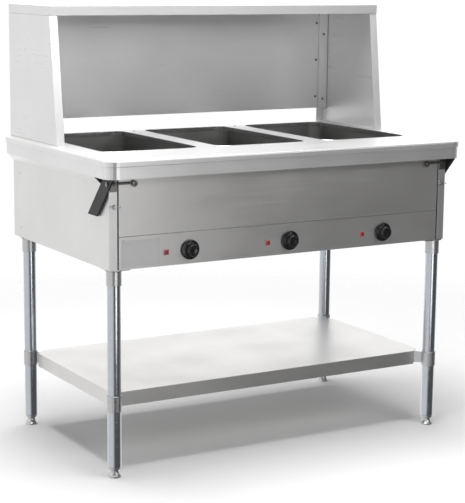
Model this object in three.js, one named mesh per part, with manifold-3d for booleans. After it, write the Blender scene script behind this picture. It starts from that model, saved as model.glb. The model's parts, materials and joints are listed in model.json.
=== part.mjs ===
// Three-well electric steam table on tube legs, with an undershelf and a sneeze guard.
// Millimetres, +Z up, the front faces -Y, and the origin is on the floor under the deck's centre.
import * as THREE from 'three';
import { mergeVertices } from 'three/addons/utils/BufferGeometryUtils.js';
import Module from 'manifold-3d';

const wasm = await Module();
wasm.setup();

// ---- driving dimensions ----
const SHEET = 1.5;          // sheet-metal thickness
const GAP = 0.4;            // air between touching pieces

const DECK_WIDTH = 1186;
const DECK_DEPTH = 736;
const DECK_TOP = 892;
const DECK_BOTTOM = 841;    // lower edge of the fascia
const DECK_CORNER = 38;     // plan radius of the deck's corners
const NOSING_RADIUS = 5;
const NOSING_HEIGHT = 18;   // flat band below the rounded edge, down to the crease
const FASCIA_INSET = 3;
const COVE_BOTTOM = 819;    // where the sloped return meets the body
const COVE_FRONT = -278;    // the side returns stop here, to leave room for the arms

const BODY_HALF = 565;
const BODY_FRONT = -318;
const BODY_BACK = 345;
const BODY_BOTTOM = 588;
const SEAM = 678;           // joint between front panel and control panel
const FLANGE = 25;

const WELL_COUNT = 3;
const WELL_PITCH = 366;
const WELL_OFFSET = 10;     // the row of wells sits a little to the right
const WELL_WIDTH = 305;
const WELL_FRONT = -176;
const WELL_BACK = 332;
const WELL_CORNER = 40;
const WELL_BOTTOM = 718;

const CONTROL_HEIGHT = 628;
const CONTROL_PITCH = 327;
const CONTROL_OFFSET = 9;
const KNOB_RADIUS = 28;
const SHAFT_RADIUS = 3;
const PILOT_SPACING = 73;   // pilot light to knob
const PILOT_SIZE = 13;

const LEG_X = 541;
const LEG_FRONT = -297;
const LEG_BACK = 289;
const LEG_RADIUS = 19.05;   // 1 1/2 in tube
const LEG_WALL = 2;
const LEG_BOTTOM = 30;
const SLEEVE_RADIUS = 21.5;
const SLEEVE_BORE = LEG_RADIUS + 0.45;

const SHELF_HALF = 534;
const SHELF_FRONT = -270;
const SHELF_BACK = 277;
const SHELF_TOP = 232;
const SHELF_BOTTOM = 191;

const GUARD_HALF = 566;
const GUARD_BACK = 362;
const GUARD_FRONT_LOW = 19;
const GUARD_FRONT_HIGH = 63;
const GUARD_TOP = 1286;
const GUARD_SHELF_BOTTOM = 1259;
const GUARD_PANEL_BOTTOM = 938;

const ARM_PIVOT = { y: -324, z: 825 };
const ARM_WIDTH = 42;
const ARM_ABOVE_PIVOT = 14;
const ARM_BELOW_PIVOT = 95;
const ARM_LEAN = THREE.MathUtils.degToRad(42);   // from straight down, towards the back
const ARM_THICKNESS = 5;

// ---- materials ----
const finish = (name, color, roughness, metalness) =>
  new THREE.MeshStandardMaterial({ name, color, roughness, metalness });
const stainless = finish('stainless', 0xd6d4d1, 0.35, 0.9);
const guardSteel = finish('guard_steel', 0xdcdcda, 0.3, 0.9);
const zincTube = finish('zinc_tube', 0xa9b4bf, 0.25, 1);
const zincPart = finish('zinc_part', 0xb4b8bb, 0.4, 0.9);
const linerSteel = finish('liner_steel', 0x8f8d8a, 0.4, 0.9);
const elementSteel = finish('element_steel', 0x4c4a49, 0.5, 0.8);
const blackPlastic = finish('black_plastic', 0x141414, 0.35, 0);
const blackSteel = finish('black_steel', 0x262725, 0.5, 0.3);
const redLens = finish('red_lens', 0x8e1d1d, 0.25, 0);
const plateFoil = finish('plate_foil', 0xc9c8c6, 0.45, 0.7);
const switchBody = finish('switch_body', 0x2e2c2a, 0.6, 0);
const nylon = finish('nylon', 0x1c1c1c, 0.6, 0);

// ---- small kit ----
function toManifold(geometry) {
  const bare = geometry.clone();
  bare.deleteAttribute('normal');
  bare.deleteAttribute('uv');
  const merged = mergeVertices(bare, 1e-4);
  const mesh = new wasm.Mesh({
    numProp: 3,
    vertProperties: new Float32Array(merged.attributes.position.array),
    triVerts: new Uint32Array(merged.index.array),
  });
  return new wasm.Manifold(mesh);
}

function toGeometry(manifold) {
  const mesh = manifold.getMesh();
  const geometry = new THREE.BufferGeometry();
  geometry.setAttribute('position', new THREE.BufferAttribute(new Float32Array(mesh.vertProperties), 3));
  geometry.setIndex(new THREE.BufferAttribute(new Uint32Array(mesh.triVerts), 1));
  geometry.computeVertexNormals();
  return geometry;
}

const union = (pieces) => toGeometry(pieces.map(toManifold).reduce((sum, piece) => sum.add(piece)));
const subtract = (body, tools) =>
  toGeometry(tools.map(toManifold).reduce((rest, tool) => rest.subtract(tool), toManifold(body)));

function box(x0, x1, y0, y1, z0, z1) {
  const geometry = new THREE.BoxGeometry(x1 - x0, y1 - y0, z1 - z0);
  return geometry.translate((x0 + x1) / 2, (y0 + y1) / 2, (z0 + z1) / 2);
}

// Cylinder between two points on a line along one axis.
function rod(axis, centre, radius, from, to, segments = 16) {
  const geometry = new THREE.CylinderGeometry(radius, radius, to - from, segments);
  const middle = (from + to) / 2;
  if (axis === 'x') {
    return geometry.rotateZ(-Math.PI / 2).translate(middle, centre[0], centre[1]);
  }
  if (axis === 'y') {
    return geometry.translate(centre[0], middle, centre[1]);
  }
  return geometry.rotateX(Math.PI / 2).translate(centre[0], centre[1], middle);
}

// Solid turned about Z from (radius, height) pairs that start and end on the axis or close on themselves.
function turned(profile, segments = 16) {
  const points = profile.map(([radius, height]) => new THREE.Vector2(radius, height));
  return new THREE.LatheGeometry(points, segments).rotateX(Math.PI / 2);
}

function roundedRectangle(x0, x1, y0, y1, radius) {
  const shape = new THREE.Shape();
  shape.moveTo(x0 + radius, y0);
  shape.lineTo(x1 - radius, y0);
  shape.absarc(x1 - radius, y0 + radius, radius, -Math.PI / 2, 0);
  shape.absarc(x1 - radius, y1 - radius, radius, 0, Math.PI / 2);
  shape.absarc(x0 + radius, y1 - radius, radius, Math.PI / 2, Math.PI);
  shape.absarc(x0 + radius, y0 + radius, radius, Math.PI, Math.PI * 1.5);
  return shape;
}

function prism(shape, z0, z1, curveSegments = 6) {
  const geometry = new THREE.ExtrudeGeometry(shape, { depth: z1 - z0, bevelEnabled: false, curveSegments });
  return geometry.translate(0, 0, z0);
}

// Prism along X of an outline given as (y, z) pairs.
function sidePrism(outline, x0, x1) {
  const shape = new THREE.Shape(outline.map(([y, z]) => new THREE.Vector2(y, z)));
  const geometry = new THREE.ExtrudeGeometry(shape, { depth: x1 - x0, bevelEnabled: false });
  geometry.rotateZ(Math.PI / 2);
  geometry.rotateY(Math.PI / 2);
  return geometry.translate(x0, 0, 0);
}

const mirrorX = (geometry) => toGeometry(toManifold(geometry).mirror([1, 0, 0]));

// Closed solid through a stack of rounded rectangles { x0, x1, y0, y1, radius, z }.
function loft(rings, cornerSteps = 6) {
  const corners = [[1, -1, -90], [1, 1, 0], [-1, 1, 90], [-1, -1, 180]];
  const positions = [];
  for (const ring of rings) {
    for (const [sideX, sideY, startAngle] of corners) {
      const centreX = sideX > 0 ? ring.x1 - ring.radius : ring.x0 + ring.radius;
      const centreY = sideY > 0 ? ring.y1 - ring.radius : ring.y0 + ring.radius;
      for (let step = 0; step <= cornerSteps; step += 1) {
        const angle = THREE.MathUtils.degToRad(startAngle + (90 * step) / cornerSteps);
        positions.push(centreX + ring.radius * Math.cos(angle));
        positions.push(centreY + ring.radius * Math.sin(angle));
        positions.push(ring.z);
      }
    }
  }
  const count = 4 * (cornerSteps + 1);
  const index = [];
  for (let level = 0; level < rings.length - 1; level += 1) {
    for (let i = 0; i < count; i += 1) {
      const a = level * count + i;
      const b = level * count + ((i + 1) % count);
      index.push(a, b, b + count, a, b + count, a + count);
    }
  }
  const last = (rings.length - 1) * count;
  for (let i = 1; i < count - 1; i += 1) {
    index.push(0, i + 1, i);
    index.push(last, last + i, last + i + 1);
  }
  const geometry = new THREE.BufferGeometry();
  geometry.setAttribute('position', new THREE.Float32BufferAttribute(positions, 3));
  geometry.setIndex(index);
  return geometry;
}

const deckRing = (inset, z) => ({
  x0: inset - DECK_WIDTH / 2,
  x1: DECK_WIDTH / 2 - inset,
  y0: inset - DECK_DEPTH / 2,
  y1: DECK_DEPTH / 2 - inset,
  radius: DECK_CORNER - inset,
  z,
});

const bodyRing = (outset, z) => ({
  x0: -BODY_HALF - outset,
  x1: BODY_HALF + outset,
  y0: BODY_FRONT - outset,
  y1: BODY_BACK + outset,
  radius: 4,
  z,
});

const wellCentre = (index) => WELL_OFFSET + (index - (WELL_COUNT - 1) / 2) * WELL_PITCH;
const controlCentre = (index) => CONTROL_OFFSET + (index - 1) * CONTROL_PITCH;

const table = new THREE.Group();

function addPart(name, geometry, material) {
  const mesh = new THREE.Mesh(geometry, material);
  mesh.name = name;
  table.add(mesh);
  return mesh;
}

// ---- deck and wells ----
function topDeck() {
  const creaseHeight = DECK_TOP - NOSING_HEIGHT;
  const nosing = [deckRing(0, creaseHeight + 1.5)];
  const nosingSteps = 4;
  for (let step = 0; step <= nosingSteps; step += 1) {
    const angle = THREE.MathUtils.degToRad((90 * step) / nosingSteps);
    const inset = NOSING_RADIUS * (1 - Math.cos(angle));
    nosing.push(deckRing(inset, DECK_TOP - NOSING_RADIUS * (1 - Math.sin(angle))));
  }
  const outer = loft([
    bodyRing(2.5, COVE_BOTTOM),
    deckRing(FASCIA_INSET, DECK_BOTTOM),
    deckRing(FASCIA_INSET, creaseHeight),
    ...nosing,
  ]);
  const wall = FASCIA_INSET + 2 * SHEET;
  const inner = loft([
    bodyRing(1, COVE_BOTTOM - 0.1),
    deckRing(wall, DECK_BOTTOM + SHEET),
    deckRing(wall, DECK_TOP - SHEET),
  ]);
  const wells = [];
  for (let index = 0; index < WELL_COUNT; index += 1) {
    const x = wellCentre(index);
    const opening = roundedRectangle(x - WELL_WIDTH / 2, x + WELL_WIDTH / 2, WELL_FRONT, WELL_BACK, WELL_CORNER);
    wells.push(prism(opening, DECK_TOP - 20, DECK_TOP + 5, 8));
  }
  const frontRelief = box(-600, 600, -400, COVE_FRONT, COVE_BOTTOM - 5, DECK_BOTTOM);
  const deck = subtract(outer, [inner, frontRelief, ...wells]);
  const skirtInside = wall - DECK_DEPTH / 2;
  const frontReturn = box(-560, 560, skirtInside - SHEET / 2, skirtInside + 4.5, DECK_BOTTOM, DECK_BOTTOM + SHEET);
  return union([deck, frontReturn]);
}

function wellLiner(index) {
  const x = wellCentre(index);
  const wall = 1.2;
  const margin = 4;
  const rim = 6;
  const top = DECK_TOP - SHEET - GAP;
  const outline = (grow) => roundedRectangle(
    x - WELL_WIDTH / 2 - grow,
    x + WELL_WIDTH / 2 + grow,
    WELL_FRONT - grow,
    WELL_BACK + grow,
    WELL_CORNER + grow,
  );
  const tub = prism(outline(margin), WELL_BOTTOM, top, 4);
  const flange = prism(outline(margin + rim), top - wall, top, 4);
  const hollow = prism(outline(margin - wall), WELL_BOTTOM + wall, top + 1, 4);
  const ports = [-1, 1].map((side) =>
    rod('y', [x + side * ELEMENT.reach, ELEMENT.height], ELEMENT.radius + 0.8, WELL_FRONT - 12, WELL_FRONT, 12));
  return subtract(union([tub, flange]), [hollow, ...ports]);
}

// Tubular heating element: four runs front to back, both ends leaving through the front wall.
const ELEMENT = { radius: 4, height: 734, reach: 99, runs: 4, front: -140, back: 296, end: -205 };

class ElementPath extends THREE.Curve {
  constructor(centre) {
    super();
    this.centre = centre;
    this.spacing = (2 * ELEMENT.reach) / (ELEMENT.runs - 1);
    this.bend = this.spacing / 2;
    this.pieces = this.makePieces();
    this.total = this.pieces.reduce((sum, piece) => sum + piece.length, 0);
  }

  makePieces() {
    const pieces = [];
    for (let run = 0; run < ELEMENT.runs; run += 1) {
      const x = -ELEMENT.reach + run * this.spacing;
      const forward = run % 2 === 1;
      const low = run === 0 || run === ELEMENT.runs - 1 ? ELEMENT.end : ELEMENT.front;
      const from = forward ? ELEMENT.back : low;
      const to = forward ? low : ELEMENT.back;
      pieces.push({ x, from, to, length: Math.abs(to - from) });
      if (run < ELEMENT.runs - 1) {
        pieces.push({ x: x + this.bend, y: to, sign: forward ? -1 : 1, length: Math.PI * this.bend });
      }
    }
    return pieces;
  }

  getPoint(t, target = new THREE.Vector3()) {
    let distance = t * this.total;
    let piece = this.pieces[0];
    for (piece of this.pieces) {
      if (distance <= piece.length) {
        break;
      }
      distance -= piece.length;
    }
    const part = Math.min(distance / piece.length, 1);
    if (piece.sign === undefined) {
      const y = piece.from + (piece.to - piece.from) * part;
      return target.set(this.centre + piece.x, y, ELEMENT.height);
    }
    const angle = Math.PI * (1 - part);
    const y = piece.y + piece.sign * this.bend * Math.sin(angle);
    return target.set(this.centre + piece.x + this.bend * Math.cos(angle), y, ELEMENT.height);
  }
}

function heatingElement(index) {
  const section = new THREE.Shape();
  section.absarc(0, 0, ELEMENT.radius, 0, Math.PI * 2);
  const extrudePath = new ElementPath(wellCentre(index));
  return new THREE.ExtrudeGeometry(section, { steps: 60, curveSegments: 3, extrudePath, bevelEnabled: false });
}

// ---- body ----
function leftSidePanel() {
  const top = DECK_TOP - SHEET - GAP;
  const outside = -BODY_HALF;
  const inside = outside + SHEET;
  return union([
    box(outside, inside, BODY_FRONT, BODY_BACK, BODY_BOTTOM, top),
    box(outside, outside + FLANGE, BODY_FRONT, BODY_FRONT + SHEET, BODY_BOTTOM, top),
    box(outside, outside + FLANGE, BODY_BACK - SHEET, BODY_BACK, BODY_BOTTOM, top),
    box(outside, outside + FLANGE, BODY_FRONT, BODY_BACK, BODY_BOTTOM, BODY_BOTTOM + SHEET),
  ]);
}

const FRONT_HALF = BODY_HALF - FLANGE - 4;

function frontPanel() {
  const top = DECK_TOP - SHEET - GAP;
  const bottom = SEAM + 0.5;
  const inside = BODY_FRONT + SHEET;
  return union([
    box(-FRONT_HALF, FRONT_HALF, BODY_FRONT, inside, bottom, top),
    box(-FRONT_HALF, FRONT_HALF, BODY_FRONT, BODY_FRONT + 20, top - SHEET, top),
    box(-FRONT_HALF, FRONT_HALF, BODY_FRONT, BODY_FRONT + 14, bottom, bottom + SHEET),
    box(-FRONT_HALF, SHEET - FRONT_HALF, BODY_FRONT, BODY_FRONT + 20, bottom, top),
    box(FRONT_HALF - SHEET, FRONT_HALF, BODY_FRONT, BODY_FRONT + 20, bottom, top),
  ]);
}

function controlPanel() {
  const top = SEAM - 0.5;
  const depth = 18;
  const sheet = union([
    box(-FRONT_HALF, FRONT_HALF, BODY_FRONT, BODY_FRONT + SHEET, BODY_BOTTOM, top),
    box(-FRONT_HALF, FRONT_HALF, BODY_FRONT, BODY_FRONT + depth, top - SHEET, top),
    box(-FRONT_HALF, FRONT_HALF, BODY_FRONT, BODY_FRONT + depth, BODY_BOTTOM, BODY_BOTTOM + SHEET),
  ]);
  const holes = [];
  const half = PILOT_SIZE / 2;
  for (let index = 0; index < WELL_COUNT; index += 1) {
    const x = controlCentre(index);
    const pilot = x - PILOT_SPACING;
    holes.push(rod('y', [x, CONTROL_HEIGHT], 5.5, BODY_FRONT - 5, BODY_FRONT + 5, 20));
    holes.push(box(
      pilot - half,
      pilot + half,
      BODY_FRONT - 5,
      BODY_FRONT + 5,
      CONTROL_HEIGHT - 2 - half,
      CONTROL_HEIGHT - 2 + half,
    ));
  }
  return subtract(sheet, holes);
}

const INLET = { x: -470, z: 643, radius: 11 };

function backPanel() {
  const half = BODY_HALF - FLANGE - 1;
  const top = DECK_TOP - 6;
  const sheet = union([
    box(-half, half, BODY_BACK - SHEET, BODY_BACK, BODY_BOTTOM, top),
    box(-half, half, BODY_BACK - 16, BODY_BACK, BODY_BOTTOM, BODY_BOTTOM + SHEET),
  ]);
  const hole = rod('y', [INLET.x, INLET.z], INLET.radius + GAP, BODY_BACK - 5, BODY_BACK + 5, 24);
  return subtract(sheet, [hole]);
}

function bottomPanel() {
  const half = BODY_HALF - SHEET - 1;
  const floor = BODY_BOTTOM + SHEET + GAP;
  const front = BODY_FRONT + 22;
  const back = BODY_BACK - SHEET - 1;
  return union([
    box(-half, half, front, back, floor, floor + SHEET),
    box(-half, half, front, front + SHEET, floor, floor + 14),
    box(-half, half, back - SHEET, back, floor, floor + 14),
  ]);
}

// ---- controls ----
const PANEL_BACK = BODY_FRONT + SHEET;

function infiniteSwitch(index) {
  const x = controlCentre(index);
  const z = CONTROL_HEIGHT;
  const face = PANEL_BACK + GAP;
  const terminals = [-12, 0, 12].map((offset) => box(x + offset - 3, x + offset + 3, face + 30, face + 42, z - 8, z - 7));
  const housing = union([
    box(x - 21, x + 21, face, face + 32, z - 17, z + 17),
    ...terminals,
  ]);
  return subtract(housing, [rod('y', [x, z], SHAFT_RADIUS + GAP, face - 1, face + 16, 16)]);
}

function controlShaft(index) {
  const start = KNOB_BACK - 13;
  return rod('y', [controlCentre(index), CONTROL_HEIGHT], SHAFT_RADIUS, start, PANEL_BACK + GAP + 14, 16);
}

const KNOB_BACK = BODY_FRONT - 1.5;

// Knob with a wide skirt, a finger grip across its face and a pointer groove.
function knob(index) {
  const depth = 25;
  const skirt = 7;
  const body = turned([
    [0, 0],
    [KNOB_RADIUS - 1, 0],
    [KNOB_RADIUS, 1],
    [KNOB_RADIUS, skirt - 2],
    [KNOB_RADIUS - 3, skirt],
    [KNOB_RADIUS - 8, skirt + 4],
    [KNOB_RADIUS - 10, depth - 5],
    [KNOB_RADIUS - 13, depth - 1],
    [KNOB_RADIUS - 17, depth],
    [0, depth],
  ], 24);
  const pointer = box(-1.2, 1.2, 6, KNOB_RADIUS, depth - 1.2, depth + 2);
  const bore = rod('z', [0, 0], SHAFT_RADIUS + GAP, -1, 14, 16);
  const geometry = subtract(body, [pointer, bore]);
  geometry.rotateX(Math.PI / 2);
  return geometry.translate(controlCentre(index), KNOB_BACK, CONTROL_HEIGHT);
}

function pilotLight(index) {
  const x = controlCentre(index) - PILOT_SPACING;
  const z = CONTROL_HEIGHT - 2;
  const half = PILOT_SIZE / 2 - GAP;
  const lip = PILOT_SIZE / 2 + 1.3;
  const face = BODY_FRONT - GAP;
  return union([
    box(x - lip, x + lip, face - 2, face, z - lip, z + lip),
    box(x - half + 1, x + half - 1, face - 3.5, face, z - half + 1, z + half - 1),
    box(x - half, x + half, face - 1, face + 26, z - half, z + half),
    box(x - 1, x + 1, face + 25, face + 34, z - 4, z + 4),
  ]);
}

const PLATE = { x0: -526, x1: -411, z0: 594, z1: 667 };

function dataPlate() {
  const face = BODY_FRONT - GAP;
  return box(PLATE.x0, PLATE.x1, face - 0.8, face, PLATE.z0, PLATE.z1);
}

function terminalBlock() {
  const floor = BODY_BOTTOM + 2 * SHEET + 2 * GAP;
  const base = box(400, 500, -290, -250, floor, floor + 26);
  const slots = [0, 1, 2, 3].map((way) => box(408 + way * 22, 424 + way * 22, -295, -276, floor + 10, floor + 30));
  return subtract(base, slots);
}

function cordInletGland() {
  const inside = BODY_BACK - SHEET - GAP;
  const outside = BODY_BACK + GAP;
  const centre = [INLET.x, INLET.z];
  const nut = rod('y', centre, 15, inside - 6, inside, 6);
  const barrel = rod('y', centre, INLET.radius, inside - 1, outside + 1, 24);
  const cap = rod('y', centre, 15, outside, outside + 9, 12);
  const nose = rod('y', centre, 11, outside + 8, outside + 17, 20);
  const bore = rod('y', centre, 6, inside - 10, outside + 20, 16);
  return subtract(union([nut, barrel, cap, nose]), [bore]);
}

// ---- legs, feet and undershelf ----
const LEGS = [
  { name: 'front_left', x: -LEG_X, y: LEG_FRONT },
  { name: 'front_right', x: LEG_X, y: LEG_FRONT },
  { name: 'back_left', x: -LEG_X, y: LEG_BACK },
  { name: 'back_right', x: LEG_X, y: LEG_BACK },
];

const ring = (outerRadius, innerRadius, z0, z1, segments = 20) =>
  turned([[innerRadius, z0], [outerRadius, z0], [outerRadius, z1], [innerRadius, z1], [innerRadius, z0]], segments);

function legSocket(leg) {
  const top = BODY_BOTTOM - GAP;
  const half = 30;
  const x = Math.sign(leg.x) * (BODY_HALF - half - 4);
  const y = Math.max(leg.y, BODY_FRONT + half + 2);
  const plate = box(x - half, x + half, y - half, y + half, top - 3, top);
  const sleeve = ring(SLEEVE_RADIUS, SLEEVE_BORE, top - 44, top - 2).translate(leg.x, leg.y, 0);
  return union([plate, sleeve]);
}

function legTube(leg) {
  const tube = ring(LEG_RADIUS, LEG_RADIUS - LEG_WALL, LEG_BOTTOM, BODY_BOTTOM - GAP - 3.5);
  return tube.translate(leg.x, leg.y, 0);
}

// Levelling foot: a stem inside the tube, a collar that closes the tube's end, a neck and a domed pad.
function levellingFoot(leg) {
  const stem = LEG_RADIUS - LEG_WALL - GAP;
  const collar = LEG_BOTTOM - GAP;
  const foot = turned([
    [0, 0],
    [17.5, 0],
    [18.5, 1],
    [18.5, 4],
    [16.5, 8],
    [12.5, 12],
    [11.5, 21],
    [17.5, 23.5],
    [17.5, collar],
    [stem, collar],
    [stem, collar + 44],
    [stem - 2, collar + 46],
    [0, collar + 46],
  ]);
  return foot.translate(leg.x, leg.y, 0);
}

const SHELF_CHAMFER = 30;

function undershelf() {
  const half = SHELF_HALF;
  const outer = box(-half, half, SHELF_FRONT, SHELF_BACK, SHELF_BOTTOM, SHELF_TOP);
  const inner = box(
    SHEET - half,
    half - SHEET,
    SHELF_FRONT + SHEET,
    SHELF_BACK - SHEET,
    SHELF_BOTTOM + SHEET,
    SHELF_TOP - SHEET,
  );
  const opening = box(14 - half, half - 14, SHELF_FRONT + 14, SHELF_BACK - 14, SHELF_BOTTOM - 1, SHELF_BOTTOM + 3);
  const corners = LEGS.map((leg) => {
    const cornerY = leg.y < 0 ? SHELF_FRONT : SHELF_BACK;
    const reach = SHELF_CHAMFER / Math.SQRT2;
    const cut = box(-reach, reach, -reach, reach, SHELF_BOTTOM - 1, SHELF_TOP + 1);
    cut.rotateZ(Math.PI / 4);
    return cut.translate(Math.sign(leg.x) * half, cornerY, 0);
  });
  return subtract(outer, [inner, opening, ...corners]);
}

// Collar on the leg with a web that reaches diagonally under the shelf to a corner plate.
function shelfSocket(leg) {
  const sleeve = ring(SLEEVE_RADIUS, SLEEVE_BORE, SHELF_BOTTOM - 1, SHELF_TOP + 1);
  const plateTop = SHELF_TOP - SHEET - GAP;
  const web = box(SLEEVE_BORE + 0.6, 78, -2, 2, SHELF_BOTTOM + 5, plateTop);
  const plate = box(60, 90, -14, 14, plateTop - 2.5, plateTop);
  const socket = union([sleeve, web, plate]);
  const towardsMiddle = Math.atan2(-Math.sign(leg.y), -Math.sign(leg.x));
  socket.rotateZ(towardsMiddle);
  return socket.translate(leg.x, leg.y, 0);
}

// ---- sneeze guard ----
const GUARD_FOOT = DECK_TOP + GAP;
const GUARD_SIDE_TOP = GUARD_SHELF_BOTTOM - GAP;

function leftGuardSide() {
  const outside = -GUARD_HALF;
  const inside = outside + SHEET;
  const sheet = sidePrism([
    [GUARD_FRONT_LOW, GUARD_FOOT],
    [GUARD_BACK, GUARD_FOOT],
    [GUARD_BACK, GUARD_SIDE_TOP],
    [GUARD_FRONT_HIGH, GUARD_SIDE_TOP],
  ], outside, inside);
  const frontFlange = sidePrism([
    [GUARD_FRONT_LOW, GUARD_FOOT],
    [GUARD_FRONT_LOW + SHEET, GUARD_FOOT],
    [GUARD_FRONT_HIGH + SHEET, GUARD_SIDE_TOP],
    [GUARD_FRONT_HIGH, GUARD_SIDE_TOP],
  ], outside, outside + FLANGE);
  return union([
    sheet,
    frontFlange,
    box(outside, outside + FLANGE, GUARD_BACK - SHEET, GUARD_BACK, GUARD_FOOT, GUARD_SIDE_TOP),
    box(outside, outside + 20, GUARD_FRONT_LOW + 2, GUARD_BACK, GUARD_FOOT, GUARD_FOOT + SHEET),
    box(outside, outside + 20, GUARD_FRONT_HIGH + 2, GUARD_BACK, GUARD_SIDE_TOP - SHEET, GUARD_SIDE_TOP),
  ]);
}

function guardTopShelf() {
  const front = GUARD_FRONT_HIGH - 2;
  const outer = box(-GUARD_HALF, GUARD_HALF, front, GUARD_BACK, GUARD_SHELF_BOTTOM, GUARD_TOP);
  const inner = box(
    SHEET - GUARD_HALF,
    GUARD_HALF - SHEET,
    front + SHEET,
    GUARD_BACK - SHEET,
    GUARD_SHELF_BOTTOM + SHEET,
    GUARD_TOP - SHEET,
  );
  const opening = box(
    13 - GUARD_HALF,
    GUARD_HALF - 13,
    front + 13,
    GUARD_BACK - 13,
    GUARD_SHELF_BOTTOM - 1,
    GUARD_SHELF_BOTTOM + 3,
  );
  return subtract(outer, [inner, opening]);
}

const POST = { x0: 531, x1: 563, y0: 334 };

function leftGuardPost() {
  const back = GUARD_BACK - SHEET - GAP;
  const bottom = GUARD_PANEL_BOTTOM - 2;
  const top = GUARD_SIDE_TOP - SHEET - GAP;
  return union([
    box(-POST.x1, -POST.x0, POST.y0, POST.y0 + SHEET, bottom, top),
    box(-POST.x1, SHEET - POST.x1, POST.y0, back, bottom, top),
    box(-POST.x0 - SHEET, -POST.x0, POST.y0, back, bottom, top),
  ]);
}

function guardBackPanel() {
  const half = POST.x0 - GAP;
  const front = POST.y0 + 6;
  const depth = 16;
  const top = GUARD_SIDE_TOP;
  const tray = box(-half, half, front, front + depth, GUARD_PANEL_BOTTOM, top);
  const inside = box(
    SHEET - half,
    half - SHEET,
    front + SHEET,
    front + depth + 1,
    GUARD_PANEL_BOTTOM + SHEET,
    top - SHEET,
  );
  return subtract(tray, [inside]);
}

// ---- shelf arms ----
const ARM_OUTSIDE = -BODY_HALF - 3 - ARM_THICKNESS;

// Flat bar that leans back at rest; both ends are cut level.
function leftShelfArm() {
  const run = Math.tan(ARM_LEAN);
  const span = ARM_WIDTH / Math.cos(ARM_LEAN);
  const topFront = -ARM_WIDTH * 0.75;
  const height = ARM_ABOVE_PIVOT + ARM_BELOW_PIVOT;
  const outline = [
    [topFront, ARM_ABOVE_PIVOT],
    [topFront + height * run, -ARM_BELOW_PIVOT],
    [topFront + height * run + span, -ARM_BELOW_PIVOT],
    [topFront + span, ARM_ABOVE_PIVOT],
  ].map(([y, z]) => [y + ARM_PIVOT.y, z + ARM_PIVOT.z]);
  const bar = sidePrism(outline, ARM_OUTSIDE, ARM_OUTSIDE + ARM_THICKNESS);
  const centre = [ARM_PIVOT.y, ARM_PIVOT.z];
  return subtract(bar, [rod('x', centre, 3.4, ARM_OUTSIDE - 2, ARM_OUTSIDE + ARM_THICKNESS + 2, 16)]);
}

const PIVOT_END = -497;

function leftArmPivot() {
  const centre = [ARM_PIVOT.y, ARM_PIVOT.z];
  const face = BODY_FRONT - GAP;
  const headSide = ARM_OUTSIDE - GAP;
  const eye = ring(9, 5, -1.8, 1.8, 20);
  eye.rotateX(Math.PI / 2);
  eye.translate(PIVOT_END + 6, ARM_PIVOT.y, ARM_PIVOT.z - 2);
  return union([
    rod('x', centre, 7, headSide - 2.5, headSide, 16),
    rod('x', centre, 3, headSide - 1, PIVOT_END, 12),
    eye,
    box(-552, -546, ARM_PIVOT.y - 2, face, ARM_PIVOT.z - 5, ARM_PIVOT.z + 5),
    box(-562, -542, face - 2, face, ARM_PIVOT.z - 22, ARM_PIVOT.z + 12),
  ]);
}

const WING_REACH = 9.5;

// Wing bolt's head about Z, its seat at height 0.
function wingHead() {
  const hub = turned([[0, 0], [7, 0], [5, 9], [0, 9]], 16);
  const wings = [-1, 1].map((side) => rod('y', [side * WING_REACH, 9], 5.5, -1.2, 1.2, 14));
  return union([hub, ...wings]);
}

const WING_BOLT = { x: -549, z: 762 };

function leftWingBolt() {
  const bolt = wingHead();
  bolt.rotateX(Math.PI / 2);
  return bolt.translate(WING_BOLT.x, BODY_FRONT - GAP, WING_BOLT.z);
}

// ---- assembly ----
addPart('top_deck', topDeck(), stainless);
for (let index = 0; index < WELL_COUNT; index += 1) {
  addPart(`well_liner_${index + 1}`, wellLiner(index), linerSteel);
  addPart(`heating_element_${index + 1}`, heatingElement(index), elementSteel);
  addPart(`infinite_switch_${index + 1}`, infiniteSwitch(index), switchBody);
  addPart(`control_shaft_${index + 1}`, controlShaft(index), zincPart);
  addPart(`control_knob_${index + 1}`, knob(index), blackPlastic);
  addPart(`pilot_light_${index + 1}`, pilotLight(index), redLens);
}
addPart('front_panel', frontPanel(), stainless);
addPart('control_panel', controlPanel(), stainless);
addPart('back_panel', backPanel(), stainless);
addPart('bottom_panel', bottomPanel(), stainless);
addPart('data_plate', dataPlate(), plateFoil);
addPart('terminal_block', terminalBlock(), switchBody);
addPart('cord_inlet_gland', cordInletGland(), nylon);
addPart('undershelf', undershelf(), stainless);
addPart('guard_top_shelf', guardTopShelf(), guardSteel);
addPart('guard_back_panel', guardBackPanel(), guardSteel);

const handed = [
  ['side_panel', leftSidePanel, stainless],
  ['guard_side', leftGuardSide, guardSteel],
  ['guard_post', leftGuardPost, guardSteel],
  ['shelf_arm', leftShelfArm, blackSteel],
  ['arm_pivot', leftArmPivot, zincPart],
  ['wing_bolt', leftWingBolt, zincPart],
];
for (const [name, make, material] of handed) {
  const left = make();
  addPart(`${name}_left`, left, material);
  addPart(`${name}_right`, mirrorX(left), material);
}

for (const leg of LEGS) {
  addPart(`leg_socket_${leg.name}`, legSocket(leg), zincPart);
  addPart(`leg_${leg.name}`, legTube(leg), zincTube);
  addPart(`foot_${leg.name}`, levellingFoot(leg), zincPart);
  addPart(`shelf_socket_${leg.name}`, shelfSocket(leg), zincPart);
}

export default table;
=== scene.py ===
import json
import math

import bmesh
import bpy
from mathutils import Matrix, Vector


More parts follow.
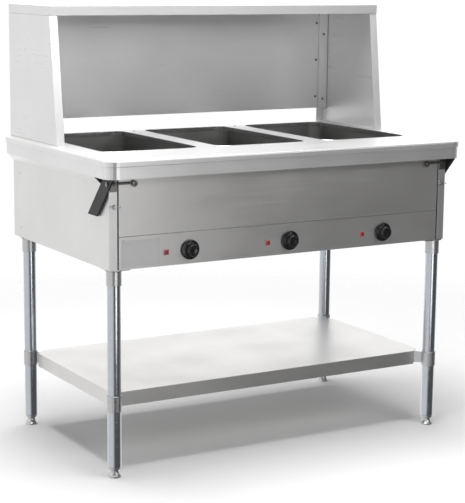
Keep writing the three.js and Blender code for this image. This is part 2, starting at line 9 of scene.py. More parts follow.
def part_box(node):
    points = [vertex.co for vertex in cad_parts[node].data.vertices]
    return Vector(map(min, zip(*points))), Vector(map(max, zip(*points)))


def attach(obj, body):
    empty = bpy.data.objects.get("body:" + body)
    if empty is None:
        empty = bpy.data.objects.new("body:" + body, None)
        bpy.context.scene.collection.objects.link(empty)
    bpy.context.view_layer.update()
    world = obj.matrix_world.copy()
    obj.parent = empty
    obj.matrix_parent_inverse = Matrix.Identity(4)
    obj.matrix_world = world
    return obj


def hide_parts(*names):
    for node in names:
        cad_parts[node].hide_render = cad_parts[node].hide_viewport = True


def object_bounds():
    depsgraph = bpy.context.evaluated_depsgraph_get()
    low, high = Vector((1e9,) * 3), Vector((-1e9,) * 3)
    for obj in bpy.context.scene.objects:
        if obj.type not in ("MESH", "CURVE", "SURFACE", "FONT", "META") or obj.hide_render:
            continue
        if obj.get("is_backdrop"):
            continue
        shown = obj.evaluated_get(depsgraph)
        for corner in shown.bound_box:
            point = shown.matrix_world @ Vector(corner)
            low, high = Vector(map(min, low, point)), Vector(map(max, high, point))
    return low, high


# Looks of the three-well steam table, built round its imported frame. Metres, +Z up, the front faces -Y.

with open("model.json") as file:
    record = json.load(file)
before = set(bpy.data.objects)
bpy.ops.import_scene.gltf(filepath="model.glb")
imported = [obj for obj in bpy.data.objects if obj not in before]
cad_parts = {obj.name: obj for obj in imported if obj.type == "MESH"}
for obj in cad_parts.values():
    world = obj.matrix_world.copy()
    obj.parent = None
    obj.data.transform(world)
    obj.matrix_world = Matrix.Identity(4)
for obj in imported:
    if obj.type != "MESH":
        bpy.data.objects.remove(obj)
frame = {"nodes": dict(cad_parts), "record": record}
low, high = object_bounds()

MM = 0.001
SIDES = ("left", "right")
WELLS = (1, 2, 3)
LEGS = ("front_left", "front_right", "back_left", "back_right")


# ---- node kit ----
def new_material(name, **values):
    """A material with one Principled shader, whose constant values are set on its own sockets."""
    material = bpy.data.materials.new(name)
    material.use_nodes = True
    shader = material.node_tree.nodes["Principled BSDF"]
    for socket, value in values.items():
        shader.inputs[socket.replace("_", " ")].default_value = value
    return material, shader


def add_node(tree, kind, inputs=None, **settings):
    """A node of this kind. Each input is given a constant, or an output socket to link from."""
    node = tree.nodes.new("ShaderNode" + kind)
    for name, value in settings.items():
        setattr(node, name, value)
    for key, value in (inputs or {}).items():
        if isinstance(value, bpy.types.NodeSocket):
            tree.links.new(value, node.inputs[key])
        else:
            node.inputs[key].default_value = value
    return node


def noise(tree, stretch, scale=1.0, detail=3.0):
    """Noise over the object's own coordinates, in metres, stretched by a scale along each axis."""
    place = add_node(tree, "TexCoord")
    mapping = add_node(tree, "Mapping", {"Vector": place.outputs["Object"], "Scale": stretch})
    field = add_node(tree, "TexNoise", {"Vector": mapping.outputs[0], "Scale": scale, "Detail": detail})
    return field.outputs["Fac"]


def remap(tree, value, low_out, high_out, low_in=0.3, high_in=0.7):
    ends = {"Value": value, "From Min": low_in, "From Max": high_in, "To Min": low_out, "To Max": high_out}
    return add_node(tree, "MapRange", ends).outputs[0]


def total(tree, first, second):
    return add_node(tree, "Math", {0: first, 1: second}, operation="ADD").outputs[0]


def blend_colours(tree, factor, first, second):
    mix = add_node(tree, "Mix", data_type="RGBA")
    tree.links.new(factor, mix.inputs["Factor"])
    for key, value in (("A", first), ("B", second)):
        socket = next(s for s in mix.inputs if s.name == key and s.type == "RGBA")
        if isinstance(value, bpy.types.NodeSocket):
            tree.links.new(value, socket)
        else:
            socket.default_value = value
    return next(s for s in mix.outputs if s.type == "RGBA")


def bumped(tree, height, strength, distance, edge_radius):
    """A normal with fine relief, rounded a little at the sheet's edges."""
    rounded = add_node(tree, "Bevel", {"Radius": edge_radius}, samples=4)
    relief = {"Height": height, "Strength": strength, "Distance": distance, "Normal": rounded.outputs[0]}
    return add_node(tree, "Bump", relief).outputs[0]


def edge_mask(tree, radius):
    """1 on the edges of a solid, 0 away from them."""
    rounded = add_node(tree, "Bevel", {"Radius": radius}, samples=4)
    surface = add_node(tree, "NewGeometry")
    ends = {0: rounded.outputs[0], 1: surface.outputs["Normal"]}
    alike = add_node(tree, "VectorMath", ends, operation="DOT_PRODUCT")
    return remap(tree, alike.outputs["Value"], 1.0, 0.0, 0.75, 0.98)


def shade(level, tint=(1.0, 1.0, 1.0)):
    return tuple(level * part for part in tint) + (1.0,)


# ---- materials ----
GRAIN = {"x": (5, 900, 900), "y": (900, 5, 900), "z": (900, 900, 5)}
BLOTCHES = (2.2, 2.2, 2.2)


def brushed(name, level, roughness, metallic, along="x", tint=(1.0, 1.0, 1.0), relief=0.12, edge_highlight=0.1):
    """Brushed sheet: long scratches along one axis, soft handling marks, and a painted highlight that
    lightens its edges.
    """
    material, shader = new_material(name, Metallic=metallic)
    tree = material.node_tree
    scratches = noise(tree, GRAIN[along], detail=4.0)
    marks = noise(tree, BLOTCHES, scale=2.5, detail=5.0)
    plain = blend_colours(tree, scratches, shade(level * 0.95, tint), shade(level * 1.04, tint))
    soiled = blend_colours(tree, remap(tree, marks, 0.0, 0.12), plain, shade(level * 0.72, tint))
    # painted highlight: the edges are lightened towards a brighter copy of the sheet's colour
    edges = remap(tree, edge_mask(tree, 1.2 * MM), 0.0, edge_highlight, 0.0, 1.0)
    colour = blend_colours(tree, edges, soiled, shade(min(level * 1.25, 0.97), tint))
    tree.links.new(colour, shader.inputs["Base Color"])
    grain = remap(tree, scratches, roughness - 0.05, roughness + 0.06)
    tree.links.new(total(tree, grain, remap(tree, marks, -0.03, 0.05)), shader.inputs["Roughness"])
    tree.links.new(bumped(tree, scratches, relief, 0.12 * MM, 1.0 * MM), shader.inputs["Normal"])
    return material


def plated(name, level, roughness, tint, spots):
    """Zinc plating: a faint crystalline mottle, duller where it has been handled."""
    material, shader = new_material(name, Metallic=1.0)
    tree = material.node_tree
    mottle = noise(tree, (spots, spots, spots), detail=5.0)
    bands = noise(tree, (60, 60, 6), detail=2.0)
    colour = blend_colours(tree, mottle, shade(level * 0.9, tint), shade(level * 1.06, tint))
    tree.links.new(colour, shader.inputs["Base Color"])
    fine = remap(tree, mottle, roughness - 0.04, roughness + 0.07)
    rough = total(tree, fine, remap(tree, bands, -0.02, 0.04))
    tree.links.new(rough, shader.inputs["Roughness"])
    tree.links.new(bumped(tree, mottle, 0.1, 0.1 * MM, 0.5 * MM), shader.inputs["Normal"])
    return material


def liner():
    """Dull drawn steel, with blotches that grow darker towards the bottom of the well."""
    material, shader = new_material("liner_steel", Metallic=0.85)
    tree = material.node_tree
    place = add_node(tree, "TexCoord")
    axes = add_node(tree, "SeparateXYZ", {"Vector": place.outputs["Object"]})
    bottom, top = (corner.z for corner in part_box("well_liner_1"))
    stains = noise(tree, (14, 14, 30), detail=6.0)
    scratches = noise(tree, GRAIN["z"], detail=3.0)
    # darker in blotches towards the bottom of the well
    depth = remap(tree, axes.outputs["Z"], 0.7, 0.1, bottom, top)
    low_darkening = add_node(tree, "Math", {0: depth, 1: stains}, operation="MULTIPLY").outputs[0]
    plain = blend_colours(tree, scratches, shade(0.34), shade(0.42, (1.0, 0.99, 0.97)))
    colour = blend_colours(tree, low_darkening, plain, shade(0.1, (1.0, 0.95, 0.9)))
    tree.links.new(colour, shader.inputs["Base Color"])
    rough = total(tree, remap(tree, stains, 0.34, 0.52), remap(tree, scratches, -0.03, 0.03))
    tree.links.new(rough, shader.inputs["Roughness"])
    tree.links.new(bumped(tree, stains, 0.15, 0.3 * MM, 1.5 * MM), shader.inputs["Normal"])
    return material


def sheath():
    """Heat-darkened steel of the elements, mottled brown and blue."""
    material, shader = new_material("element_steel", Metallic=0.8)
    tree = material.node_tree
    heat = noise(tree, (30, 12, 30), detail=6.0)
    grit = noise(tree, (500, 500, 500), detail=2.0)
    colour = blend_colours(tree, heat, shade(0.12, (1.0, 0.85, 0.75)), shade(0.26, (0.9, 0.95, 1.0)))
    tree.links.new(colour, shader.inputs["Base Color"])
    tree.links.new(remap(tree, heat, 0.4, 0.62), shader.inputs["Roughness"])
    tree.links.new(bumped(tree, grit, 0.3, 0.2 * MM, 0.5 * MM), shader.inputs["Normal"])
    return material


def coated(name, level, roughness, pores, depth, coat=0.0, tint=(1.0, 1.0, 1.0)):
    """Moulded plastic or paint: a pitted skin, with a painted highlight lightening its edges."""
    material, shader = new_material(name, Coat_Weight=coat, Coat_Roughness=0.08)
    tree = material.node_tree
    skin = noise(tree, (pores, pores, pores), detail=3.0)
    wipe = noise(tree, (25, 25, 25), detail=4.0)
    # painted highlight: the edges are lightened towards a much brighter copy of the colour
    edges = remap(tree, edge_mask(tree, 0.8 * MM), 0.0, 0.5, 0.0, 1.0)
    plain = blend_colours(tree, wipe, shade(level * 0.8, tint), shade(level * 1.3, tint))
    tree.links.new(blend_colours(tree, edges, plain, shade(level * 2.4, tint)), shader.inputs["Base Color"])
    broad = remap(tree, wipe, roughness - 0.04, roughness + 0.07)
    rough = total(tree, broad, remap(tree, skin, -0.02, 0.03))
    tree.links.new(rough, shader.inputs["Roughness"])
    tree.links.new(bumped(tree, skin, depth, 0.1 * MM, 0.8 * MM), shader.inputs["Normal"])
    return material


def lens(name, colour, deep, roughness):
    """Moulded translucent red: fine ribs under a glossy face."""
    material, shader = new_material(name, Transmission_Weight=0.15, IOR=1.49, Coat_Weight=0.5)
    tree = material.node_tree
    place = add_node(tree, "TexCoord")
    ribs = add_node(tree, "TexWave", {"Vector": place.outputs["Object"], "Scale": 220.0, "Distortion": 0.0})
    cloud = noise(tree, (120, 120, 120), detail=2.0)
    tree.links.new(blend_colours(tree, cloud, colour, deep), shader.inputs["Base Color"])
    tree.links.new(remap(tree, cloud, roughness - 0.05, roughness + 0.08), shader.inputs["Roughness"])
    tree.links.new(bumped(tree, ribs.outputs["Fac"], 0.25, 0.2 * MM, 0.4 * MM), shader.inputs["Normal"])
    return material


def pale_floor():
    """Matt pale paint that fades out into the white room."""
    material, shader = new_material("floor_paint", Specular_IOR_Level=0.1)
    tree = material.node_tree
    cloud = noise(tree, (0.8, 0.8, 0.8), detail=3.0)
    place = add_node(tree, "TexCoord")
    distance = add_node(tree, "VectorMath", {0: place.outputs["Object"]}, operation="LENGTH")
    fade = remap(tree, distance.outputs["Value"], 1.0, 0.0, FLOOR_SOLID, FLOOR_REACH)
    tree.links.new(fade, shader.inputs["Alpha"])
    tree.links.new(blend_colours(tree, cloud, shade(0.9), shade(0.93)), shader.inputs["Base Color"])
    tree.links.new(remap(tree, cloud, 0.8, 0.95), shader.inputs["Roughness"])
    return material


FLOOR_SOLID = 1.1   # the floor is opaque to this distance
FLOOR_REACH = 2.8   # and has faded out at this one

BLUISH = (0.93, 0.98, 1.05)
FINISHES = {
    "stainless": brushed("stainless", 0.74, 0.36, 0.9, tint=(1.0, 0.99, 0.975)),
    "guard_steel": brushed("guard_steel", 0.86, 0.34, 0.6, relief=0.06),
    "zinc_tube": plated("zinc_tube", 0.66, 0.16, BLUISH, 70),
    "zinc_part": plated("zinc_part", 0.6, 0.3, (0.98, 1.0, 1.02), 160),
    "liner_steel": liner(),
    "element_steel": sheath(),
    "black_plastic": coated("black_plastic", 0.008, 0.22, 900, 0.06, coat=0.2),
    "black_steel": coated("black_steel", 0.014, 0.5, 1400, 0.3),
    "red_lens": lens("red_lens", (0.22, 0.012, 0.02, 1.0), (0.34, 0.02, 0.03, 1.0), 0.18),
    "plate_foil": brushed("plate_foil", 0.66, 0.42, 0.6, relief=0.04),
    "switch_body": coated("switch_body", 0.05, 0.55, 700, 0.2, tint=(1.0, 0.85, 0.7)),
    "nylon": coated("nylon", 0.03, 0.5, 1100, 0.2),
}
# painted light: the deck gets a lighter copy of the stainless, standing in for the extra light its top
# catches, with a weaker painted edge highlight
lit_deck_steel = brushed("stainless_deck_lit", 0.84, 0.36, 0.82, tint=(1.0, 1.0, 0.995), edge_highlight=0.05)
side_steel = brushed("stainless_side", 0.78, 0.36, 0.88, along="y", tint=(1.0, 0.995, 0.985))
guard_side_steel = brushed("guard_steel_side", 0.86, 0.33, 0.62, along="y", relief=0.06)
pink_bezel = lens("bezel_plastic", (0.62, 0.24, 0.24, 1.0), (0.5, 0.16, 0.17, 1.0), 0.3)
rim_steel = brushed("rim_steel", 0.85, 0.2, 1.0, relief=0.04)
weld_steel = plated("weld_steel", 0.5, 0.38, (1.0, 0.98, 0.95), 300)
mark_paint = coated("mark_paint", 0.6, 0.5, 900, 0.1)
dark_screw = plated("dark_screw", 0.22, 0.35, (1.0, 0.97, 0.94), 400)


# Nodes whose finish differs from the rest of their slot, by the start of their names.
SPECIAL_FINISHES = {
    # the deck's lighter copy of the stainless is painted light
    "top_deck": lit_deck_steel,
    "arm_pivot": dark_screw,
    "side_panel": side_steel,
    "guard_side": guard_side_steel,
}


def paint_frame():
    """Gives every CAD node its procedural material."""
    for row in frame["record"]["subparts"]:
        material = FINISHES[row["material_slot"]]
        for start, special in SPECIAL_FINISHES.items():
            if row["node"].startswith(start):
                material = special
        for place in frame["nodes"][row["node"]].material_slots:
            place.material = material


# ---- mesh kit ----
def finish_piece(piece, body, material):
    piece.data.materials.append(material)
    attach(piece, body)
    return piece


def mesh_piece(name, mesh, body, material, sharp_angle=35):
    """A piece from a bmesh: smooth, but for edges sharper than the angle."""
    bmesh.ops.recalc_face_normals(mesh, faces=mesh.faces)
    for face in mesh.faces:
        face.smooth = True
    for edge in mesh.edges:
        edge.smooth = edge.calc_face_angle(0.0) < math.radians(sharp_angle)
    data = bpy.data.meshes.new(name)
    mesh.to_mesh(data)
    mesh.free()
    piece = bpy.data.objects.new(name, data)
    bpy.context.scene.collection.objects.link(piece)
    return finish_piece(piece, body, material)


def lathe(profile, segments=48, radius_at=None):
    """A closed solid turned about Z from (radius, height) pairs, each open end on the axis."""
    mesh = bmesh.new()
    rings = []
    for radius, height in profile:
        if radius == 0:
            rings.append([mesh.verts.new((0, 0, height))])
            continue
        ring = []
        for step in range(segments):
            angle = 2 * math.pi * step / segments
            reach = radius_at(radius, height, angle) if radius_at else radius
            ring.append(mesh.verts.new((reach * math.cos(angle), reach * math.sin(angle), height)))
        rings.append(ring)
    for first, second in zip(rings, rings[1:]):
        for step in range(segments):
            after = (step + 1) % segments
            corners = [first[step % len(first)], first[after % len(first)]]
            corners += [second[after % len(second)], second[step % len(second)]]
            corners = list(dict.fromkeys(corners))
            if len(corners) > 2:
                mesh.faces.new(corners)
    return mesh


def hoop(loops):
    """A closed band through loops of points, of which the last joins the first."""
    mesh = bmesh.new()
    rings = [[mesh.verts.new(point) for point in loop] for loop in loops]
    for level, ring in enumerate(rings):
        after = rings[(level + 1) % len(rings)]
        for step in range(len(ring)):
            turn = (step + 1) % len(ring)
            mesh.faces.new([ring[step], ring[turn], after[turn], after[step]])
    return mesh


FACE_FRONT = Matrix.Rotation(math.radians(90), 4, "X")
FACE_BACK = Matrix.Rotation(math.radians(-90), 4, "X")
FACE_LEFT = Matrix.Rotation(math.radians(-90), 4, "Y")
FACE_RIGHT = Matrix.Rotation(math.radians(90), 4, "Y")
FACE_UP = Matrix.Identity(4)


def put(mesh, where, facing=FACE_UP):
    """Turns a mesh from facing +Z, then moves it to its place."""
    bmesh.ops.transform(mesh, matrix=Matrix.Translation(where) @ facing, verts=mesh.verts)
    return mesh


def arc(centre_radius, centre_height, radius, start, end, steps=4):
    points = []
    for step in range(steps + 1):
        angle = math.radians(start + (end - start) * step / steps)
        points.append((centre_radius + radius * math.cos(angle), centre_height + radius * math.sin(angle)))
    return points


def wire(name, points, radius, body, material, closed=True):
    """A round bead along a line of points."""
    curve = bpy.data.curves.new(name, "CURVE")
    curve.dimensions = "3D"
    curve.bevel_depth = radius
    curve.bevel_resolution = 3
    curve.use_fill_caps = True
    line = curve.splines.new("POLY")
    line.points.add(len(points) - 1)
    for point, where in zip(line.points, points):
        point.co = (*where, 1.0)
    line.use_cyclic_u = closed
    piece = bpy.data.objects.new(name, curve)
    bpy.context.scene.collection.objects.link(piece)
    return finish_piece(piece, body, material)


def rounded_loop(x0, x1, y0, y1, radius, z, steps=10):
    points = []
    corners = ((x1 - radius, y0 + radius, -90), (x1 - radius, y1 - radius, 0))
    corners += ((x0 + radius, y1 - radius, 90), (x0 + radius, y0 + radius, 180))
    for centre_x, centre_y, start in corners:
        for step in range(steps + 1):
            angle = math.radians(start + 90 * step / steps)
            points.append((centre_x + radius * math.cos(angle), centre_y + radius * math.sin(angle), z))
    return points


def circle(centre, radius, steps=40):
    angles = [2 * math.pi * step / steps for step in range(steps)]
    return [(centre[0] + radius * math.cos(a), centre[1] + radius * math.sin(a), centre[2]) for a in angles]


def middle(node):
    lowest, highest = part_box(node)
    return (lowest + highest) / 2


# ---- pieces ----
def rivet(name, where, facing, radius=2.6 * MM, material=None):
    height = radius * 0.55
    dome = arc(0, 0, 1, 0, 90, 5)
    profile = [(0, -0.2 * MM), (radius, -0.2 * MM)]
    profile += [(radius * x, height * y) for x, y in dome[:-1]] + [(0, height)]
    mesh = put(lathe(profile, 20), where, facing)
    return mesh_piece(name, mesh, "table", material or FINISHES["zinc_part"])


def hex_screw(name, where, facing, across=7 * MM):
    """Washer-faced hexagon head."""
    corner = across / 2 / math.cos(math.radians(30))
    flange = across * 0.68

    def six_sided(radius, height, angle):
        if radius >= flange * 0.98:
            return radius
        turn = (angle + math.pi / 6) % (math.pi / 3) - math.pi / 6
        return min(radius, across / 2 / math.cos(turn))

    top = across * 0.5
    profile = [(0, -0.2 * MM), (flange, -0.2 * MM), (flange, 0.5 * MM), (corner, 0.9 * MM)]
    profile += [(corner, top - 0.5 * MM), (corner * 0.9, top), (0, top)]
    mesh = put(lathe(profile, 36, six_sided), where, facing)
    return mesh_piece(name, mesh, "table", dark_screw)


def knob_dial(index):
    """Glossy knob: a wide skirt, a fluted grip and a dished face."""
    node = f"control_knob_{index}"
    lowest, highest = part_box(node)
    centre = middle(node)
    radius = (highest.x - lowest.x) / 2
    depth = highest.y - lowest.y
    grip = radius * 0.64
    skirt = depth * 0.26
    flutes = 10

    def fluted(reach, height, angle):
        if reach > grip * 1.02 or height < skirt or reach < grip * 0.6:
            return reach
        return reach * (1 - 0.035 * (1 + math.cos(flutes * angle)))

    profile = [(0, 0), (radius - 0.8 * MM, 0)]
    profile += arc(radius - 1.2 * MM, 1.2 * MM, 1.2 * MM, -30, 0, 2)
    profile += arc(radius - 2.4 * MM, skirt - 2.4 * MM, 2.4 * MM, 0, 90, 5)
    profile += arc(grip + 3 * MM, skirt + 3 * MM, 3 * MM, 270, 180, 4)
    profile += arc(grip - 3.5 * MM, depth - 3.5 * MM, 3.5 * MM, 8, 90, 6)
    profile += [(grip * 0.45, depth - 0.1 * MM), (grip * 0.3, depth - 0.9 * MM), (0, depth - 1.1 * MM)]
    where = Vector((centre.x, highest.y, centre.z))
    mesh = put(lathe(profile, 80, fluted), where, FACE_FRONT)
    body = f"knob_{index}"
    dial = mesh_piece(f"knob_dial_{index}", mesh, body, FINISHES["black_plastic"], 50)
    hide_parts(node)
    front = highest.y - skirt - 0.1 * MM
    mark = [(centre.x, front, centre.z + reach) for reach in (grip + 3.5 * MM, radius - 3 * MM)]
    wire(f"knob_mark_{index}", mark, 0.5 * MM, body, mark_paint, closed=False)


def square_ring(outer, inner, depth, chamfer):
    """A square frame, chamfered inward at its front, about Z."""
    levels = [(inner, 0), (outer, 0), (outer, depth - chamfer)]
    levels += [(outer - chamfer, depth), (inner, depth - chamfer / 2)]
    signs = ((1, 1), (-1, 1), (-1, -1), (1, -1))
    return hoop([[(half * a, half * b, z) for a, b in signs] for half, z in levels])


def pillow(half, height, sag, steps=8):
    """A square lens with a crowned face and closed back."""
    mesh = bmesh.new()
    rows = []
    for row in range(steps + 1):
        line = []
        for column in range(steps + 1):
            u = 2 * row / steps - 1
            v = 2 * column / steps - 1
            line.append(mesh.verts.new((half * u, half * v, height - sag * max(abs(u), abs(v)) ** 4)))
        rows.append(line)
    for row in range(steps):
        for column in range(steps):
            corners = [rows[row][column], rows[row + 1][column]]
            corners += [rows[row + 1][column + 1], rows[row][column + 1]]
            mesh.faces.new(corners)
    border = [edge for edge in mesh.edges if edge.is_boundary]
    skirt = bmesh.ops.extrude_edge_only(mesh, edges=border)["geom"]
    for vert in skirt:
        if isinstance(vert, bmesh.types.BMVert):
            vert.co.z = 0
    bmesh.ops.holes_fill(mesh, edges=[edge for edge in mesh.edges if edge.is_boundary])
    return mesh


def pilot(index):
    """Square bezel with a crowned red lens."""
    node = f"pilot_light_{index}"
    lowest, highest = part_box(node)
    centre = middle(node)
    half = (highest.x - lowest.x) / 2
    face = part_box("control_panel")[0].y
    depth = face - lowest.y
    where = Vector((centre.x, face, centre.z))
    frame_mesh = put(square_ring(half, half - 2.4 * MM, depth * 0.62, 0.7 * MM), where, FACE_FRONT)
    bezel = mesh_piece(f"pilot_bezel_{index}", frame_mesh, "table", pink_bezel)
    bevel = bezel.modifiers.new("soft_edges", "BEVEL")
    bevel.width = 0.25 * MM
    bevel.segments = 2
    glass_mesh = put(pillow(half - 2.45 * MM, depth, 0.8 * MM), where, FACE_FRONT)
    glass = mesh_piece(f"pilot_lens_{index}", glass_mesh, "table", FINISHES["red_lens"])
    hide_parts(node)


TUBE_WALL = 2 * MM


def leg_tube(leg):
    """Round tube with a softened lower lip and a closed upper end."""
    node = f"leg_{leg}"
    lowest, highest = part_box(node)
    centre = middle(node)
    radius = (highest.x - lowest.x) / 2
    height = highest.z - lowest.z
    inside = radius - TUBE_WALL
    profile = [(inside, 0.6 * MM), (inside + 0.6 * MM, 0), (radius - 0.8 * MM, 0), (radius, 0.8 * MM)]
    profile += [(radius, height * step / 6) for step in range(1, 6)]
    profile += [(radius, height - 0.5 * MM), (inside, height), (inside, 0.6 * MM)]
    mesh = put(lathe(profile, 64), Vector((centre.x, centre.y, lowest.z)))
    tube = mesh_piece(f"tube_{leg}", mesh, "table", FINISHES["zinc_tube"])
    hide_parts(node)


def foot_pad(leg):
    """Levelling foot: domed pad, neck, plug collar and the stem inside the tube."""
    node = f"foot_{leg}"
    lowest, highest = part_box(node)
    centre = middle(node)
    radius = (highest.x - lowest.x) / 2
    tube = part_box(f"leg_{leg}")
    collar = tube[0].z - 0.4 * MM - lowest.z
    top = highest.z - lowest.z
    plug = (tube[1].x - tube[0].x) / 2 - 1.5 * MM
    stem = plug - 2.2 * MM
    neck = radius * 0.63
    profile = [(0, 0.4 * MM), (radius - 3 * MM, 0.4 * MM), (radius - 2 * MM, 0), (radius - 0.8 * MM, 0)]
    profile += arc(radius - 1 * MM, 1 * MM, 1 * MM, -60, 0, 3)
    profile += arc(radius - 1.5 * MM, 4 * MM, 1.5 * MM, 0, 60, 3)
    profile += [(radius * 0.8, 9 * MM), (neck + 0.8 * MM, 12 * MM), (neck, 14 * MM), (neck, 20.5 * MM)]
    profile += [(plug - 0.8 * MM, 23 * MM), (plug, 24 * MM), (plug, collar)]
    profile += [(stem, collar), (stem, top), (0, top)]
    mesh = put(lathe(profile, 56), Vector((centre.x, centre.y, lowest.z)))
    pad = mesh_piece(f"pad_{leg}", mesh, f"foot_{leg}", FINISHES["zinc_part"])
    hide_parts(node)


def socket_welds(leg):
    """Weld beads round the leg's upper sleeve and round its collar at the undershelf."""
    centre = middle(f"leg_{leg}")
    plate_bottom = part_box(f"leg_socket_{leg}")[1].z - 3 * MM
    bead = 1.3 * MM
    ring = circle((centre.x, centre.y, plate_bottom), 22 * MM)
    wire(f"weld_socket_{leg}", ring, bead, "table", weld_steel)
    for end, corner in zip(("low", "high"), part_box(f"shelf_socket_{leg}")):
        lip = circle((centre.x, centre.y, corner.z), 20.6 * MM)
        wire(f"collar_lip_{end}_{leg}", lip, 0.8 * MM, "table", FINISHES["zinc_part"])


WELL_CORNER = 40 * MM    # plan radius of a well's opening
LINER_FLANGE = 10 * MM   # reach of a liner's rim beyond the opening
COLLAR_DEPTH = 13 * MM   # how far the deck's sheet turns down into a well


def well_rim(index):
    """Rolled lip where the deck's sheet turns down into the well, and the short wall below it."""
    lowest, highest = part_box(f"well_liner_{index}")
    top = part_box("top_deck")[1].z

    def inner_loop(inset, drop):
        margin = LINER_FLANGE + inset
        ends = (lowest.x + margin, highest.x - margin, lowest.y + margin, highest.y - margin)
        return rounded_loop(*ends, WELL_CORNER - inset, top - drop)

    lip = inner_loop(0, 0.9 * MM)
    wire(f"well_lip_{index}", lip, 1.6 * MM, "table", rim_steel)
    outside = 0.2 * MM
    upper = 0.4 * MM
    levels = [(outside, upper), (outside, COLLAR_DEPTH), (1 * MM, COLLAR_DEPTH), (1.4 * MM, upper)]
    collar = hoop([inner_loop(inset, drop) for inset, drop in levels])
    mesh_piece(f"well_collar_{index}", collar, "table", rim_steel)


def guard_fasteners():
    """Dark screws up the edges of the back panel and up the posts."""
    lowest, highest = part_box("guard_back_panel")
    face = lowest.y
    for side, sign in zip(SIDES, (-1, 1)):
        for row, height in enumerate((0.12, 0.5, 0.88)):
            z = lowest.z + (highest.z - lowest.z) * height
            x = sign * (highest.x - 9 * MM)
            hex_screw(f"panel_screw_{side}_{row}", (x, face, z), FACE_FRONT, 6 * MM)
        post_low, post_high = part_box(f"guard_post_{side}")
        for row, height in enumerate((0.1, 0.77)):
            z = post_low.z + (post_high.z - post_low.z) * height
            x = (post_low.x + post_high.x) / 2
            hex_screw(f"post_screw_{side}_{row}", (x, post_low.y, z), FACE_FRONT, 6 * MM)


def guard_seams():
    """Thin weld line where each guard side stands on the deck, and a round stud at its top corner."""
    for side, sign in zip(SIDES, (-1, 1)):
        lowest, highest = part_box(f"guard_side_{side}")
        x = sign * max(abs(lowest.x), abs(highest.x))
        length = highest.y - lowest.y
        foot = lowest.z + 0.2 * MM
        points = [(x, lowest.y + length * step / 20, foot) for step in range(21)]
        wire(f"guard_seam_{side}", points, 0.8 * MM, "table", weld_steel, closed=False)
        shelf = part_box("guard_top_shelf")
        stud = (sign * (shelf[1].x - 22 * MM), shelf[0].y + 18 * MM, shelf[1].z)
        rivet(f"shelf_stud_{side}", stud, FACE_UP, 3.5 * MM)


def body_fasteners():
    """Rivets on the side and control panels, and the screws that hold the back panel."""
    for side, sign, facing in zip(SIDES, (-1, 1), (FACE_LEFT, FACE_RIGHT)):
        lowest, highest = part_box(f"side_panel_{side}")
        x = sign * max(abs(lowest.x), abs(highest.x))
        height = highest.z - lowest.z
        for row, part in enumerate((0.1, 0.65)):
            place = (x, highest.y - 51 * MM, lowest.z + height * part)
            rivet(f"side_rivet_{side}_{row}", place, facing)
    lowest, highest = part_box("back_panel")
    for row, part in enumerate((0.06, 0.94)):
        for column in range(6):
            x = lowest.x + 15 * MM + (highest.x - lowest.x - 30 * MM) * column / 5
            place = (x, highest.y, lowest.z + (highest.z - lowest.z) * part)
            hex_screw(f"back_screw_{row}_{column}", place, FACE_BACK, 6 * MM)
    lowest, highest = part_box("control_panel")
    for column, x in enumerate((lowest.x + 14 * MM, highest.x - 14 * MM)):
        rivet(f"control_rivet_{column}", (x, lowest.y, highest.z - 8 * MM), FACE_FRONT, 2 * MM)


def deck_plugs():
    """Two small dark plugs in the deck behind the dividers between the wells."""
    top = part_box("top_deck")[1].z
    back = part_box("well_liner_1")[1].y
    for number in (1, 2):
        gap = (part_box(f"well_liner_{number}")[1].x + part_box(f"well_liner_{number + 1}")[0].x) / 2
        rivet(f"deck_plug_{number}", (gap, back - 30 * MM, top), FACE_UP, 3 * MM, dark_screw)


def plate_trim():
    """Four rivets and an embossed border on the blank plate."""
    lowest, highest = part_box("data_plate")
    face = lowest.y
    inset = 4 * MM
    columns = (lowest.x + inset, highest.x - inset)
    rows = (lowest.z + inset, highest.z - inset)
    for number, (x, z) in enumerate((x, z) for x in columns for z in rows):
        rivet(f"plate_rivet_{number}", (x, face, z), FACE_FRONT, 1.5 * MM)
    inset = 8 * MM
    ends = (lowest.x + inset, highest.x - inset, lowest.z + inset, highest.z - inset)
    border = [(x, face, z) for x, z, unused in rounded_loop(*ends, 3 * MM, 0)]
    wire("plate_border", border, 0.3 * MM, "table", FINISHES["plate_foil"])


def build_pieces():
    for index in WELLS:
        knob_dial(index)
        pilot(index)
        well_rim(index)
    for leg in LEGS:
        leg_tube(leg)
        foot_pad(leg)
        socket_welds(leg)
    guard_fasteners()
    guard_seams()
    body_fasteners()
    deck_plugs()
    plate_trim()


# ---- studio ----
def floor():
    mesh = bmesh.new()
    bmesh.ops.create_grid(mesh, x_segments=8, y_segments=8, size=FLOOR_REACH)
    data = bpy.data.meshes.new("floor")
    mesh.to_mesh(data)
    mesh.free()
    plane = bpy.data.objects.new("floor", data)
    plane.location.z = low.z
    plane.visible_glossy = False
    data.materials.append(pale_floor())
    bpy.context.scene.collection.objects.link(plane)
    plane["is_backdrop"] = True


def softbox(name, place, target, width, height, power, colour=(1.0, 1.0, 1.0)):
    light = bpy.data.lights.new(name, "AREA")
    light.shape = "RECTANGLE"
    light.size = width
    light.size_y = height
    light.energy = power
    light.color = colour
    lamp = bpy.data.objects.new(name, light)
    lamp.location = place
    lamp.rotation_mode = "QUATERNION"
    lamp.rotation_quaternion = (Vector(target) - Vector(place)).to_track_quat("-Z", "Y")
    bpy.context.scene.collection.objects.link(lamp)


ROOM_WHITE = 1.02   # brightness of the room where it is seen directly
ROOM_FILL = 0.38    # share of the room's light that falls on matt surfaces, which keeps the shadow


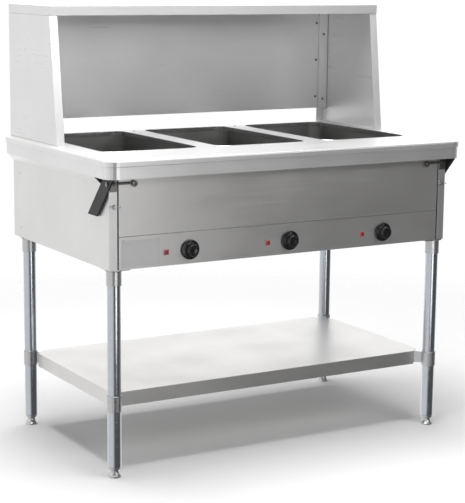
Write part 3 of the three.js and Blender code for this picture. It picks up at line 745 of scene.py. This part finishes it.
def surroundings():
    """A white room whose far side is the bright one, so that the metal shades from left to right."""
    world = bpy.data.worlds.new("studio")
    world.use_nodes = True
    tree = world.node_tree
    place = add_node(tree, "TexCoord")
    axes = add_node(tree, "SeparateXYZ", {"Vector": place.outputs["Generated"]})
    back = remap(tree, axes.outputs["Y"], 0.1, 1.35, -0.25, 0.75)
    left = remap(tree, axes.outputs["X"], -0.45, 0.0, -0.5, 0.45)
    near_left = remap(tree, axes.outputs["X"], 0.8, 0.1, -0.75, -0.3)
    far = total(tree, back, left)
    level = add_node(tree, "Math", {0: far, 1: near_left}, operation="MAXIMUM").outputs[0]
    dimmed = add_node(tree, "Math", {0: level, 1: ROOM_FILL}, operation="MULTIPLY").outputs[0]
    rays = add_node(tree, "LightPath").outputs
    lit = {"Factor": rays["Is Diffuse Ray"], "A": level, "B": dimmed}
    unseen = add_node(tree, "Mix", lit).outputs["Result"]
    shown = {"Factor": rays["Is Camera Ray"], "A": unseen, "B": ROOM_WHITE}
    strength = add_node(tree, "Mix", shown)
    background = tree.nodes["Background"]
    tree.links.new(strength.outputs["Result"], background.inputs["Strength"])
    background.inputs["Color"].default_value = (1.0, 1.0, 1.0, 1.0)
    bpy.context.scene.world = world


def lights():
    softbox("top_box", (-0.2, 0.0, 3.4), (0, 0, 0.8), 2.4, 2.0, 145)
    softbox("left_box", (-3.2, 0.6, 1.9), (-0.5, 0, 0.8), 2.2, 2.4, 12)
    softbox("front_box", (0.0, -2.6, 0.4), (-0.2, 0, 0.6), 0.9, 1.2, 7)
    softbox("guard_box", (0.8, -2.4, 1.95), (0, 0.2, 1.15), 2.0, 0.9, 17)


CAMERA_PLACE = (-2.3526, -4.0272, 1.3904)
CAMERA_YAW = -30.359
CAMERA_PITCH = -10.285
CAMERA_ROLL = 0.576
CAMERA_LENS = 110.91


def camera():
    """Stands at the front left and looks slightly down."""
    yaw, pitch, roll = (math.radians(angle) for angle in (CAMERA_YAW, CAMERA_PITCH, CAMERA_ROLL))
    forward = Vector((-math.sin(yaw) * math.cos(pitch), math.cos(yaw) * math.cos(pitch), math.sin(pitch)))
    level_right = Vector((math.cos(yaw), math.sin(yaw), 0))
    level_up = level_right.cross(forward)
    right = level_right * math.cos(roll) + level_up * math.sin(roll)
    up = level_up * math.cos(roll) - level_right * math.sin(roll)
    data = bpy.data.cameras.new("camera")
    data.sensor_width = 36
    data.lens = CAMERA_LENS
    eye = bpy.data.objects.new("camera", data)
    turn = Matrix((right, up, -forward)).transposed().to_4x4()
    eye.matrix_world = Matrix.Translation(CAMERA_PLACE) @ turn
    bpy.context.scene.collection.objects.link(eye)
    bpy.context.scene.camera = eye


bpy.context.scene.view_settings.view_transform = "Standard"
paint_frame()
build_pieces()
floor()
surroundings()
lights()
camera()

low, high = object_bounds()
